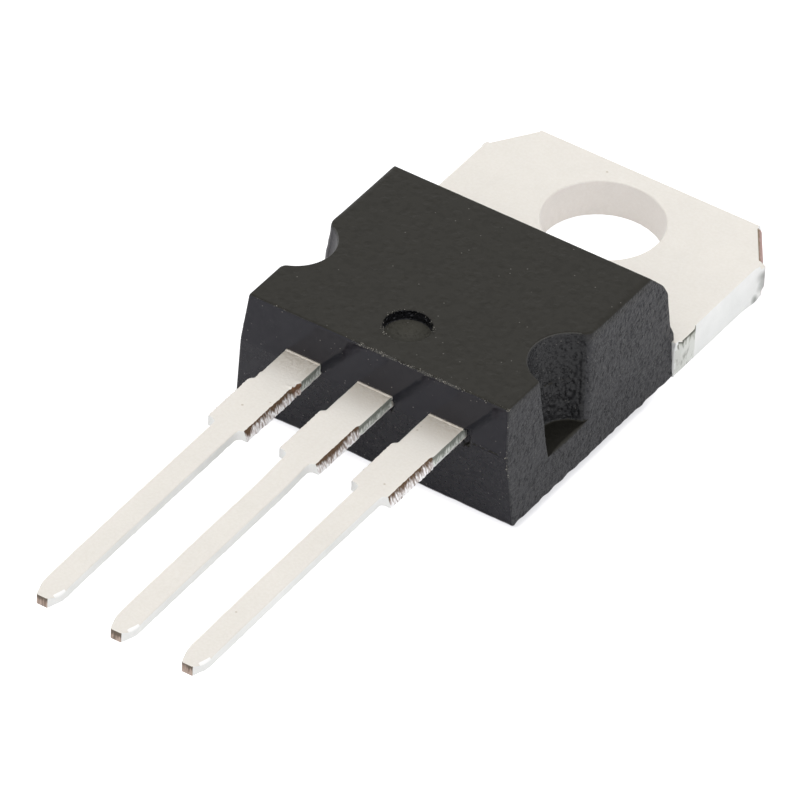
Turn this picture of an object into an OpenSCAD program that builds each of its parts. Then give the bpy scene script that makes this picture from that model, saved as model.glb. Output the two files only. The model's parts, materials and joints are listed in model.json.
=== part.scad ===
// Three-lead voltage regulator in a flat-tab power package, lying on its back.
// The origin is the centre of the tab hole at the tab's back face. +Z points away
// from that face, and the leads run along -Y.

/* [Heat-sink tab] */
// Width of the tab
tab_w = 10; // [9.8:0.05:10.4]
// Thickness of the tab and of the die pad
tab_t = 1.3; // [1.2:0.05:1.4]
// From the hole centre to the free end of the tab
tab_end = 2.65; // [2.5:0.05:3]
// Diameter of the mounting hole
hole_d = 3.86; // [3.6:0.02:3.9]
// Corner cut-off measured across the tab
corner_x = 1; // [0.6:0.05:1.4]
// Corner cut-off measured along the tab
corner_y = 1.5; // [0.8:0.05:1.8]
// How far the shear drew in the top edge of each corner cut-off
draw_in = 0.12; // [0.05:0.01:0.2]
// How far down the drawn-in edge reaches
draw_down = 0.2; // [0.1:0.05:0.4]
// How far the sheared tie-bar stub stands out of each side of the tab
tie_out = 0.1; // [0.05:0.01:0.15]
// Length of the sheared tie-bar stub
tie_len = 1.15; // [0.8:0.05:1.4]

/* [Die pad] */
// Width of the die pad at its top face
pad_w = 8.5; // [8:0.1:8.8]
// How far each side of the die pad slopes in towards the back
pad_undercut = 0.25; // [0.1:0.05:0.4]
// Length of the die pad under the moulding
pad_l = 6.9; // [6.4:0.1:7.2]

/* [Moulded body] */
// Height of the body over the tab's back face
body_h = 4.3; // [4.2:0.05:4.7]
// Width of the body at its back
body_w_back = 9.92; // [9.8:0.02:10]
// Width of the body at its top face
body_w_top = 9.2; // [9:0.05:9.5]
// From the hole centre to the rear face of the body
body_rear = 3.72; // [3.6:0.02:3.8]
// From the hole centre to the front face at the parting line
body_front = 12.75; // [12.6:0.05:12.9]
// How far the front face slopes back, above and below the parting line
front_draft = 0.2; // [0.1:0.02:0.3]
// How far the rear face slopes in, up to its bevel
rear_draft = 0.2; // [0.1:0.02:0.3]
// Bevel along the rear top edge, measured along the body
bevel_y = 0.93; // [0.6:0.01:1]
// Bevel along the rear top edge, measured down from the top face
bevel_z = 0.9; // [0.6:0.05:1]
// Radius of the side notches at the top face
notch_r_top = 1.38; // [1.3:0.02:1.5]
// Radius of the side notches at their ledge
notch_r_ledge = 1; // [0.9:0.02:1.1]
// Diameter of the ejector-pin mark in the top face
mark_d = 1.52; // [1.4:0.02:1.6]
// Depth of the ejector-pin mark
mark_depth = 0.35; // [0.2:0.05:0.4]

/* [Leads] */
// Distance from one lead to the next
pitch = 2.54; // [2.5:0.01:2.6]
// Thickness of the lead strip
lead_t = 0.36; // [0.32:0.02:0.42]
// Height of the underside of the leads over the tab's back face
lead_z = 2.63; // [2.5:0.01:2.8]
// Width of a lead where it leaves the body
neck_w = 1.24; // [1.2:0.02:1.3]
// Width of the slender part of a lead
pin_w = 0.79; // [0.7:0.01:0.85]
// Lead length outside the body
lead_l = 13.4; // [13:0.1:14]
// How far the sheared side of the dam-bar stubs leans in towards the top
dam_lean = 0.13; // [0.05:0.01:0.2]

/* [Chip and bond wires] */
// Width of the regulator chip
die_w = 2; // [1.6:0.1:2.4]
// Length of the regulator chip
die_l = 1.8; // [1.4:0.1:2]
// Thickness of the regulator chip
die_t = 0.28; // [0.2:0.01:0.32]
// Diameter of the bond wires
wire_d = 0.15; // [0.12:0.01:0.18]

/* [Hidden] */
$fn = 96;
nick = 0.01;

pad_front = -body_rear - pad_l;
lead_top = lead_z + lead_t;
lead_root = -body_front + 0.85;
lead_tip = -body_front - lead_l;

// Dam-bar stub: where the bar that joined the leads was sheared off.
dam_start = -body_front - 1.35;
dam_end = -body_front - 3.9;
dam_left = 0.07;
dam_right = 0.06;
shoulder_r = 0.18;

// Tapered end of a lead.
tip_l = 0.6;
tip_w = 0.36;
tip_bevel = 0.06;

// Bond shelf on the inner end of the outer leads.
shelf_w = 2.2;
shelf_l = 1.15;
shelf_y = lead_root + shelf_l / 2 - 0.1;

notch_x = 4.98;
notch_y = -9.55;
notch_ledge = tab_t;

solder_t = 0.05;
die_y = -8.3;
die_top = tab_t + solder_t + die_t;

// Rises of a down-set strip through two bends: the centre lead's way up from the pad.
jog_run = 0.62;
jog_bend_r = 0.15;

// Half the body's width at height z, from the draft on its sides.
function half_w(z) = (body_w_back + (body_w_top - body_w_back) * z / body_h) / 2;

// Points along an arc about [cy, cz], from angle a0 to a1.
function arc(cy, cz, r, a0, a1, steps = 6) =
    [for (i = [0:steps]) let (a = a0 + (a1 - a0) * i / steps)
        [cy + r * cos(a), cz + r * sin(a)]];

// A profile drawn as [y, z], pushed through from -w/2 to w/2 along X.
module across(w) {
    translate([-w / 2, 0, 0])
        rotate([90, 0, 90])
            linear_extrude(w) children();
}

module rounded_plate(w, l, t, r) {
    linear_extrude(t) {
        square([w - 2 * r, l], center = true);
        square([w, l - 2 * r], center = true);
        for (x = [-1, 1], y = [-1, 1])
            translate([x * (w / 2 - r), y * (l / 2 - r)]) circle(r);
    }
}

// ---- Copper frame: tab, die pad and centre lead in one piece of strip ----

module tab_plate() {
    side = tab_w / 2;
    difference() {
        linear_extrude(tab_t)
            difference() {
                polygon([[-side, -body_rear], [side, -body_rear],
                         [side, tab_end - corner_y], [side - corner_x, tab_end],
                         [corner_x - side, tab_end], [-side, tab_end - corner_y]]);
                circle(d = hole_d);
            }
        for (s = [-1, 1])
            drawn_edge(s);
    }
    for (s = [-1, 1])
        tie_stub(s);
}

// Top edge of a corner cut-off, which the shear pulled in and down before it cut.
module drawn_edge(s) {
    facing = atan2(corner_x, corner_y);
    translate([s * (tab_w - corner_x) / 2, tab_end - corner_y / 2, tab_t])
        rotate([0, 0, s > 0 ? facing : 180 - facing])
            rotate([90, 0, 0])
                linear_extrude(2 * corner_y, center = true)
                    polygon([[-2 * draw_in, draw_down], [draw_in, -2 * draw_down],
                             [draw_in, draw_down]]);
}

// Torn rest of the bar that held neighbouring tabs together, with a lip left below.
module tie_stub(s) {
    lip = 0.3;
    inner = tab_w / 2 - nick;
    outer = tab_w / 2 + tie_out;
    translate([0, 0, lip])
        linear_extrude(tab_t - lip)
            polygon([for (p = [[inner, 0], [outer, 0.05], [outer, tie_len - 0.15],
                               [inner, tie_len]])
                [s * p[0], p[1] - body_rear + 0.02]]);
}

// The pad's sides slope in towards the back, so the moulding grips it. The half-round
// side notches and the vee across its top, just inside the body, key it as well.
module die_pad() {
    groove = 0.15;
    corner = 0.6;
    difference() {
        intersection() {
            rotate([90, 0, 0])
                linear_extrude(-pad_front)
                    polygon([[pad_undercut - pad_w / 2, 0], [pad_w / 2 - pad_undercut, 0],
                             [pad_w / 2, tab_t], [-pad_w / 2, tab_t]]);
            linear_extrude(tab_t)
                polygon([[-pad_w / 2, -body_rear + nick], [pad_w / 2, -body_rear + nick],
                         [pad_w / 2, pad_front + corner], [pad_w / 2 - corner, pad_front],
                         [corner - pad_w / 2, pad_front], [-pad_w / 2, pad_front + corner]]);
        }
        for (s = [-1, 1])
            translate([s * notch_x, notch_y, -nick])
                cylinder(r = notch_r_ledge + 0.35, h = tab_t + 2 * nick);
        translate([-pad_w, -body_rear - 0.9, tab_t - groove])
            rotate([45, 0, 0])
                cube([2 * pad_w, groove * sqrt(2), groove * sqrt(2)]);
    }
}

// Side view of the centre lead's rise: off the pad, up through two bends, level again.
module jog_profile() {
    rise = lead_top - tab_t;
    slope = atan2(rise, jog_run);
    ro = jog_bend_r + lead_t;
    y0 = pad_front;
    turn = 90 - slope;
    low = [y0 - 0.12, tab_t + jog_bend_r];
    high = [low[0] - ro * sin(slope) - (rise - (ro + jog_bend_r) * (1 - cos(slope))) / tan(slope)
            - jog_bend_r * sin(slope), lead_z - jog_bend_r];
    polygon(concat(
        [[y0 + nick, tab_t]],
        arc(low[0], low[1], jog_bend_r, 270, 270 - slope),
        arc(high[0], high[1], ro, 90 - slope, 90),
        [[lead_root - 0.3, lead_top], [lead_root - 0.3, lead_z]],
        arc(high[0], high[1], jog_bend_r, 90, 90 - slope),
        arc(low[0], low[1], ro, 270 - slope, 270),
        [[y0 + nick, tab_t - lead_t]]));
}

// ---- Leads ----

module lead_outline() {
    neck = neck_w / 2;
    pin = pin_w / 2;
    left = neck + dam_left;
    right = neck + dam_right;
    tip = lead_tip + tip_l;
    polygon([[-neck, lead_root], [-neck, dam_start], [-left, dam_start - 0.1],
             [-left, dam_end], [-pin, dam_end], [-pin, tip], [-tip_w / 2, lead_tip],
             [tip_w / 2, lead_tip], [pin, tip], [pin, dam_end], [right, dam_end],
             [right, dam_start - 0.1], [neck, dam_start], [neck, lead_root]]);
    for (s = [-1, 1])
        shoulder_fillet(s, pin);
}

// Concave round where a stub steps in to the slender pin.
module shoulder_fillet(s, pin) {
    difference() {
        translate([s * (pin + shoulder_r / 2 - nick), dam_end - shoulder_r / 2 + nick])
            square(shoulder_r, center = true);
        translate([s * (pin + shoulder_r), dam_end - shoulder_r])
            circle(shoulder_r);
    }
}

// Leaning side that the shear left on a stub. It is cut away from the outline's right.
module dam_shear() {
    right = neck_w / 2 + dam_right;
    translate([0, dam_start - 0.1, 0])
        rotate([90, 0, 0])
            linear_extrude(dam_start - 0.1 - dam_end)
                polygon([[right + dam_lean, lead_z - lead_t],
                         [right - 2 * dam_lean, lead_top + lead_t],
                         [right + dam_lean, lead_top + lead_t]]);
}

// The outline stamped from the strip, with its end bevelled above and below.
module lead_blank() {
    difference() {
        intersection() {
            translate([0, 0, lead_z])
                linear_extrude(lead_t) lead_outline();
            across(2 * pitch)
                polygon([[lead_root, lead_z], [lead_root, lead_top],
                         [lead_tip + 0.3, lead_top], [lead_tip, lead_top - tip_bevel],
                         [lead_tip, lead_z + tip_bevel], [lead_tip + 0.3, lead_z]]);
        }
        dam_shear();
    }
}

module outer_lead(s) {
    translate([s * pitch, 0, 0]) {
        lead_blank();
        translate([0, shelf_y, lead_z])
            rounded_plate(shelf_w, shelf_l, lead_t, 0.25);
    }
}

// ---- Bond wires: one round arc between a foot on the chip and a foot on the copper ----

module wire_foot(az) {
    rotate([0, 0, az])
        translate([-0.16, -wire_d * 0.75, 0])
            cube([0.32, wire_d * 1.5, 0.09]);
}

module bond_wire(from, to, sag) {
    run = to - from;
    chord = norm(run);
    az = atan2(run[1], run[0]);
    tilt = atan2(run[2], norm([run[0], run[1]]));
    r = (chord * chord / 4 + sag * sag) / (2 * sag);
    half = asin(chord / (2 * r));
    difference() {
        union() {
            translate((from + to) / 2)
                rotate([0, -tilt, az])
                    translate([0, 0, sag - r])
                        rotate([90, 0, 0])
                            rotate([0, 0, 90 - half])
                                rotate_extrude(angle = 2 * half)
                                    translate([r, 0]) circle(d = wire_d, $fn = 24);
            translate(from) wire_foot(az);
            translate(to) wire_foot(az);
        }
        for (p = [from, to])
            translate([p[0], p[1], p[2] - 0.2])
                cube([1, 1, 0.4], center = true);
    }
}

// ---- Pieces ----

module tab_frame() {
    color("#e6e2dc") {
        tab_plate();
        die_pad();
        across(neck_w) jog_profile();
        lead_blank();
    }
}

module input_lead() {
    color("#e6e2dc") outer_lead(-1);
}

module output_lead() {
    color("#e6e2dc") outer_lead(1);
}

module die_attach() {
    color("#a9aaac")
        translate([0, die_y, tab_t])
            rounded_plate(die_w + 0.3, die_l + 0.3, solder_t, 0.3);
}

module regulator_die() {
    color("#5a5f68")
        translate([-die_w / 2, die_y - die_l / 2, tab_t + solder_t])
            cube([die_w, die_l, die_t]);
}

module input_wire() {
    color("#cfcfca")
        bond_wire([-0.7, die_y - 0.6, die_top], [-2.5, -11.3, lead_top], 0.9);
}

module output_wire() {
    color("#cfcfca")
        bond_wire([0.35, die_y - 0.6, die_top], [2.1, -11.35, lead_top], 0.9);
}

module sense_wire() {
    color("#cfcfca")
        bond_wire([0.75, die_y - 0.25, die_top], [3, -11.25, lead_top], 0.9);
}

module ground_wire() {
    color("#cfcfca")
        bond_wire([0.5, die_y + 0.6, die_top], [1.9, -6.2, tab_t], 0.6);
}

// Everything the moulding was shaped around.
module inner_pieces() {
    tab_frame();
    input_lead();
    output_lead();
    die_attach();
    regulator_die();
    input_wire();
    output_wire();
    sense_wire();
    ground_wire();
}

// Outer form: the side view and the front view pushed through each other.
module body_block() {
    intersection() {
        across(body_w_back + 1)
            polygon([[front_draft - body_front, 0], [-body_front, lead_z],
                     [front_draft - body_front, body_h],
                     [-body_rear - rear_draft - bevel_y, body_h],
                     [-body_rear - rear_draft, body_h - bevel_z],
                     [-body_rear, tab_t + 0.3], [0.1 - body_rear, tab_t + 0.2],
                     [0.1 - body_rear, tab_t], [-body_rear, tab_t], [-body_rear, 0]]);
        rotate([90, 0, 0])
            linear_extrude(body_front + 1)
                polygon([[-half_w(0), 0], [half_w(0), 0],
                         [half_w(body_h), body_h], [-half_w(body_h), body_h]]);
    }
}

module side_notch(s) {
    translate([s * notch_x, notch_y, notch_ledge])
        cylinder(h = body_h - notch_ledge + nick, r1 = notch_r_ledge, r2 = notch_r_top);
}

module moulded_body() {
    color("#3d3b37")
        difference() {
            body_block();
            for (s = [-1, 1])
                side_notch(s);
            translate([0, -body_front + 1.7, body_h - mark_depth])
                cylinder(d = mark_d, h = mark_depth + nick);
            inner_pieces();
        }
}

moulded_body();
tab_frame();
input_lead();
output_lead();
regulator_die();
die_attach();
input_wire();
output_wire();
sense_wire();
ground_wire();
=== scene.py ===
import json
import math

import bmesh
import bpy
from mathutils import Matrix, Vector, noise


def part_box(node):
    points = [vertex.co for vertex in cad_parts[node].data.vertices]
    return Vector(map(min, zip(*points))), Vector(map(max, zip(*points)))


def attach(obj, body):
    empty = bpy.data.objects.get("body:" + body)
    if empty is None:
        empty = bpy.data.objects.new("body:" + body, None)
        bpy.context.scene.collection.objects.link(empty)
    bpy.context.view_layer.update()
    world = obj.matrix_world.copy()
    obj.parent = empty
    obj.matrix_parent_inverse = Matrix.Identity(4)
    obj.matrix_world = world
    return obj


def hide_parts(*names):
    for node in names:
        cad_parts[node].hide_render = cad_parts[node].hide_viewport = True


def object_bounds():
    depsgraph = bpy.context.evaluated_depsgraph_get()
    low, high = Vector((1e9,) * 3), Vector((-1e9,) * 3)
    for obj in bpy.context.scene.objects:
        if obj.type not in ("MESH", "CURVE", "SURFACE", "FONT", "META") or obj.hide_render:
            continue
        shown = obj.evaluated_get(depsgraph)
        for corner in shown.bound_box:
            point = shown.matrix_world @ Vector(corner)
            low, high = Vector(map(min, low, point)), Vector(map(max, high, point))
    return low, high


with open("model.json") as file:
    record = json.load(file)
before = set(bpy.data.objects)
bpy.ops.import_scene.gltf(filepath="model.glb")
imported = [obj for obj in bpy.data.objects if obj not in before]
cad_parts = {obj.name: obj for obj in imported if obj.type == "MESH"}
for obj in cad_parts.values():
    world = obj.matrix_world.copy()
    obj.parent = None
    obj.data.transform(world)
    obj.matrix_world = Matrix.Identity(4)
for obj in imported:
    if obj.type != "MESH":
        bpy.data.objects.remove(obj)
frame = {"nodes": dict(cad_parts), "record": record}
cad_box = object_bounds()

# ---- Table, light tent and view ----
# The part lies on its back on a white table inside a white light tent. A large soft lamp
# hangs over its leads and to the left, and a small one stands high on the right, which the
# rounded edges of the copper mirror.
MM = 0.001
WHITE = (1, 1, 1, 1)
TABLE_SIZE = 1.6
LAMPS = {
    "overhead_softbox": {"at": (-0.12, -0.1, 0.42), "size": 0.4, "watts": 0.22},
    "side_lamp": {"at": (0.36, 0.0, 0.36), "size": 0.1, "watts": 0.12},
}
AIM = Vector((0.285, -11.66, 2.0)) * MM
DISTANCE = 330.5 * MM
AZIMUTH = math.radians(31.58)
ELEVATION = math.radians(39.01)
ROLL = math.radians(3.18)
LENS = 501.8

scene = bpy.context.scene
scene.view_settings.view_transform = "Standard"


def linear(hex_colour):
    """An sRGB hex value as the linear colour that a shader's socket takes."""
    parts = [int(hex_colour[i:i + 2], 16) / 255 for i in (1, 3, 5)]
    return (*(p / 12.92 if p <= 0.04045 else ((p + 0.055) / 1.055) ** 2.4 for p in parts), 1)


def add(tree, kind, inputs=None, **settings):
    """Adds a node: settings by name, and inputs as values, or as the sockets or nodes that
    feed them. A node feeds by its first live output, and a plain kind is a shader node's."""
    node = tree.nodes.new(kind if "Node" in kind else "ShaderNode" + kind)
    for name, value in settings.items():
        setattr(node, name, value)
    for name, value in (inputs or {}).items():
        if isinstance(value, bpy.types.Node):
            value = next(socket for socket in value.outputs if socket.enabled)
        if isinstance(value, bpy.types.NodeSocket):
            tree.links.new(value, node.inputs[name])
        else:
            node.inputs[name].default_value = value
    return node


def new_material(name):
    """A material without nodes, and the tree that they go in."""
    material = bpy.data.materials.new(name)
    material.use_nodes = True
    material.node_tree.nodes.clear()
    return material, material.node_tree


def put(name, data):
    """A new object in the scene."""
    made = bpy.data.objects.new(name, data)
    scene.collection.objects.link(made)
    return made


tent = bpy.data.worlds.new("white_tent")
tent.use_nodes = True
tent.node_tree.nodes.clear()
tent_light = add(tent.node_tree, "Background", {"Color": WHITE})
add(tent.node_tree, "OutputWorld", {"Surface": tent_light})
scene.world = tent

for name, spec in LAMPS.items():
    light = bpy.data.lights.new(name, "AREA")
    light.shape = "DISK"
    light.size = spec["size"]
    light.energy = spec["watts"]
    lamp = put(name, light)
    lamp.location = spec["at"]
    lamp.rotation_euler = (AIM - lamp.location).to_track_quat("-Z", "Y").to_euler()

# Painted board, which keeps part of its own shading and so shows the part's soft shadow. A
# narrow painted shadow, a grey glow drawn where an occlusion test towards the left finds the
# part close by, lies along the right of the black body. Beside the tab it is faded out by place.
glow_share = 0.52
shade_reach = 0.25
shade_faint, shade_full = -4.3, -5.6
board_paint, tree = new_material("white_board_paint")
paint = add(tree, "BsdfDiffuse", {"Color": linear("#f1f1f1")})
glow = add(tree, "Emission", {"Color": linear("#f8f7f9"), "Strength": 1.8})
# Painted shadow: the grey that the narrow shade along the body is drawn in.
painted_shade = add(tree, "Emission", {"Color": linear("#dfdfe2")})
watched = add(tree, "LightPath").outputs["Is Camera Ray"]
share = add(tree, "Math", {0: watched, 1: glow_share}, operation="MULTIPLY")
lit = add(tree, "MixShader", {0: share, 1: paint, 2: glow})
leftwards = add(tree, "CombineXYZ", {"X": -0.9, "Z": 0.44})
open_side = add(tree, "AmbientOcclusion",
                {"Distance": shade_reach * MM, "Normal": leftwards}, samples=16)
hidden = add(tree, "MapRange",
             {"Value": open_side.outputs["AO"], "From Min": 1.0, "From Max": 0.4})
spot = add(tree, "NewGeometry").outputs["Position"]
along = add(tree, "SeparateXYZ", {"Vector": spot}).outputs["Y"]
painted_shade_by_place = add(tree, "MapRange",
               {"Value": along, "From Min": shade_faint * MM, "From Max": shade_full * MM,
                "To Min": 0.12})
painted_shade_share = add(tree, "Math", {0: hidden, 1: painted_shade_by_place}, operation="MULTIPLY")
painted_shade_share = add(tree, "Math", {0: painted_shade_share, 1: watched}, operation="MULTIPLY")
board = add(tree, "MixShader", {0: painted_shade_share, 1: lit, 2: painted_shade})
add(tree, "OutputMaterial", {"Surface": board})

table_mesh = bpy.data.meshes.new("table")
reach = TABLE_SIZE / 2
table_gap = 0.005
table_height = cad_box[0].z - table_gap * MM
table_mesh.from_pydata([(x * reach, y * reach, table_height)
                        for x, y in ((-1, -1), (1, -1), (1, 1), (-1, 1))], [], [(0, 1, 2, 3)])
table_mesh.materials.append(board_paint)
table = put("table", table_mesh)

camera = put("camera", bpy.data.cameras.new("camera"))
camera.data.lens = LENS
camera.data.sensor_width = 36
camera.data.clip_start = 0.01
away = Vector((math.sin(AZIMUTH) * math.cos(ELEVATION),
               -math.cos(AZIMUTH) * math.cos(ELEVATION), math.sin(ELEVATION)))
camera.matrix_world = (Matrix.Translation(AIM + DISTANCE * away)
                       @ away.to_track_quat("Z", "Y").to_matrix().to_4x4()
                       @ Matrix.Rotation(ROLL, 4, "Z"))
scene.camera = camera

# ---- Outer leads ----
# Each lead is stamped from tinned copper strip and moulded in at its inner end. A bar joined
# the leads until the moulding was done. Its sheared stubs show as wider stretches with bare
# copper on their edges, and the ends were cut to a taper after plating.
lead_fine = 0.045
lead_low, lead_high = (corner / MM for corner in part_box("output_lead"))
body_low, body_high = (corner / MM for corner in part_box("moulded_body"))
hole = next(m for m in frame["record"]["mounts"] if m["name"] == "tab_hole")["dims"]
plate = hole["length_mm"]
pitch = (lead_low.x + lead_high.x) / 2
strip = lead_high.z - lead_low.z
lead_root = body_low.y
lead_reach = lead_root - lead_low.y
neck_left, neck_right = 0.59, 0.67
stub_left, stub_right, stub_lean = 0.705, 0.59, 0.13
stub_from, stub_to = 1.7, 3.9
cut_from = {-1: 1.28, 0: 1.71, 1: 1.62}
step = 0.08
shoulder = 0.18
pin_half = 0.4
taper_from = lead_reach - 0.62
tip_half = 0.18
droop = 0.2
# The radius of the edges above and below: of the strip, of its sheared stub and of its tip.
strip_edges, stub_edges, tip_edges = (0.05, 0.045), (0.02, 0.02), (0.15, 0.06)
rim_from, rim_to, rim_high = 0.006, 0.02, 0.011
lip_wide = 0.035
torn_by, wavy_by, frayed_by = 0.022, 0.009, 0.03
burr_wide, burr_high = 0.11, 0.12


def ramp(value, start, end):
    """Rises smoothly from 0 at start to 1 at end."""
    t = min(max((value - start) / (end - start), 0), 1)
    return t * t * (3 - 2 * t)


def between(a, b, t):
    return a + (b - a) * t


def lumps(x, y, z):
    """Smooth noise from about -1 to 1 at a place."""
    return noise.noise(Vector((x, y, z)))


def lead_half(s, neck, stub, start):
    """Half the width at a distance s from the body. The stub begins at the start."""
    if s <= stub_to:
        return between(neck, stub, ramp(s, start - step, start + step))
    if s < stub_to + shoulder:
        rise = min(stub_to + shoulder - s, shoulder)
        return pin_half + shoulder - math.sqrt(shoulder ** 2 - rise ** 2)
    if s < taper_from:
        return pin_half
    return between(pin_half, tip_half, ((s - taper_from) / (lead_reach - taper_from)) ** 1.7)


def lead_section(s, place, bent, seed):
    """The outline across a lead, from its top left corner round to the right and back. Its
    place counts pitches from the middle, and its pin is bent aside by the given mm."""
    start = cut_from[place]
    on_stub = ramp(s, start - 0.05, start + 0.08) * (s <= stub_to)
    at_tip = ramp(s, lead_reach - 0.35, lead_reach - 0.02)
    near_tip = ramp(s, taper_from - 0.3, taper_from + 0.3) * (1 - at_tip)
    left = lead_half(s, neck_left, stub_left, stub_from)
    right = lead_half(s, neck_right, stub_right, start)
    flare = stub_lean * on_stub
    roll, foot = (between(between(edge, sharp, on_stub or at_tip), tip, near_tip)
                  for edge, sharp, tip in zip(strip_edges, stub_edges, tip_edges))
    middle = lead_high.z - strip / 2 - droop * (max(s, 0) / lead_reach) ** 2
    top = middle + strip / 2 + rim_high * (1 - ramp(s, rim_from, rim_to))
    low = middle - strip / 2
    shift = place * pitch + bent * ramp(s, stub_to, stub_to + 1.8)
    y = lead_root - s
    points = [(between(roll - left, right - roll, i / 8), top) for i in range(9)]
    points += [(right - roll + roll * math.sin(a), top - roll + roll * math.cos(a))
               for a in (math.radians(d) for d in (22.5, 45, 67.5))]
    side = [between(top - roll, low + foot, i / 7) for i in range(8)]
    lip = lip_wide * (1 - on_stub) * (s < start)
    points += [(right + flare * (top - z) / (top - low)
                + lip * ramp(-z, -low - 0.17, -low - foot), z) for z in side]
    foot_x = right + flare + lip
    points.append((foot_x - foot * 0.3, low + foot * 0.3))
    points += [(between(foot_x - foot, foot - left, i / 4), low) for i in range(5)]
    points.append((foot * 0.3 - left, low + foot * 0.3))
    points += [(-left, z) for z in reversed(side)]
    points += [(roll - left - roll * math.sin(a), top - roll + roll * math.cos(a))
               for a in (math.radians(d) for d in (67.5, 45, 22.5))]
    ring = []
    burr = ramp(s, start - 0.35, start - 0.1) * ramp(-s, -start - 0.25, -start) * (place < 0)
    for px, pz in points:
        torn = lumps(seed, y * 14, pz * 3) + 0.5 * lumps(seed + 5, y * 40, pz * 6)
        edge = ramp(abs(px), 0.75 * min(left, right), min(left, right))
        wave = wavy_by * lumps(seed + px * 0.5, y * 2.2, pz * 2)
        out = (torn_by * torn * on_stub + wave) * edge * (1 if px > 0 else -1)
        out += burr_wide * burr * lumps(seed + 3, y * 9, pz * 5) * edge * (px > 0)
        frayed = frayed_by * lumps(seed + 9, y * 6, 0) * (top - pz) / (top - low)
        rise = burr_high * burr * edge * (px > 0) * max(lumps(seed + 4, y * 11, 0), 0)
        ring.append(Vector((shift + px + out, y, pz + frayed * edge + rise)))
    return ring


def walls(bm, rings):
    """Adds the faces between closed rings of equal length. Returns the end rows."""
    rows = [[bm.verts.new(p * MM) for p in ring] for ring in rings]
    for row, above in zip(rows, rows[1:]):
        for i in range(len(row)):
            j = (i + 1) % len(row)
            bm.faces.new((row[i], row[j], above[j], above[i]))
    return rows[0], rows[-1]


def cap(bm, *rows):
    """Closes a flat face inside the first row, leaving out what the other rows enclose."""
    edges = [bm.edges.get((row[i - 1], row[i])) for row in rows for i in range(len(row))]
    bmesh.ops.triangle_fill(bm, edges=edges, use_beauty=True)


def solid(bm, name):
    """Makes the finished shape an object, with its faces pointing outwards."""
    bmesh.ops.recalc_face_normals(bm, faces=bm.faces)
    mesh = bpy.data.meshes.new(name)
    bm.to_mesh(mesh)
    bm.free()
    return put(name, mesh)


def lead_outside(name, place, bent, seed):
    """The part of a lead that stands out of the moulding, with its root just inside."""
    stations = [-0.3, 0.0, rim_from, 0.011, 0.016, rim_to, 0.024, 0.08]
    while stations[-1] < lead_reach - lead_fine:
        s = stations[-1]
        fine = 1.1 < s < stub_to + 0.3 or s > taper_from - 0.3
        stations.append(s + (lead_fine if fine else 2 * lead_fine))
        if s < stub_to <= stations[-1]:
            stations[-1:] = [stub_to, stub_to + 0.002]
    stations[-1] = lead_reach - 0.012
    rings = [lead_section(s, place, bent, seed) for s in stations]
    end = lead_section(lead_reach, place, bent, seed)
    middle = sum(end, Vector()) / len(end)
    rings.append([p.lerp(middle, 0.06) for p in end])
    bm = bmesh.new()
    first, last = walls(bm, rings)
    cap(bm, first)
    cap(bm, last)
    return solid(bm, name)


def merged_copy(node, name):
    """A copy of a CAD node with its loose triangles welded together."""
    bm = bmesh.new()
    bm.from_mesh(frame["nodes"][node].data)
    bmesh.ops.remove_doubles(bm, verts=bm.verts, dist=1e-7)
    return solid(bm, name)


def block(low, high, name):
    """A plain block between two corners, to cut or keep with."""
    bm = bmesh.new()
    bmesh.ops.create_cube(bm, size=1)
    for v in bm.verts:
        v.co = Vector([between(low[i], high[i], v.co[i] + 0.5) for i in range(3)]) * MM
    return solid(bm, name)


def settle(piece):
    """Makes a plain mesh of what the piece's modifiers give, and removes them."""
    solved = piece.evaluated_get(bpy.context.evaluated_depsgraph_get())
    mesh = bpy.data.meshes.new_from_object(solved)
    piece.modifiers.clear()
    piece.data = mesh


def combine(target, steps):
    """Joins, cuts or keeps solids one after the other, and leaves a mesh with no finish."""
    for operation, other in steps:
        modifier = target.modifiers.new(operation, "BOOLEAN")
        modifier.operation = operation
        modifier.solver = "MANIFOLD"
        modifier.object = other
    settle(target)
    target.data.materials.clear()


def soften(piece, degrees):
    """Smooth shading, apart from edges sharper than this."""
    piece.data.shade_smooth()
    piece.data.set_sharp_from_angle(angle=math.radians(degrees))


def specks(tree, place, radius, spacing, share):
    """1 inside small dots strewn at random, and 0 between them. The radius and the spacing
    are in mm, and the share is how many of the places on that spacing have a dot."""
    cells = add(tree, "TexVoronoi", {"Vector": place, "Scale": 1 / (spacing * MM)})
    dot = add(tree, "MapRange",
              {"Value": cells.outputs["Distance"], "From Min": radius / spacing,
               "From Max": 0.5 * radius / spacing})
    lot = add(tree, "SeparateColor", {"Color": cells.outputs["Color"]})
    chosen = add(tree, "Math", {0: lot, 1: share}, operation="LESS_THAN")
    return add(tree, "Math", {0: dot, 1: chosen}, operation="MULTIPLY")


streaks_per_metre = (9000, 350, 9000)
drags_per_metre = (14000, 14000, 2600)


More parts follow.
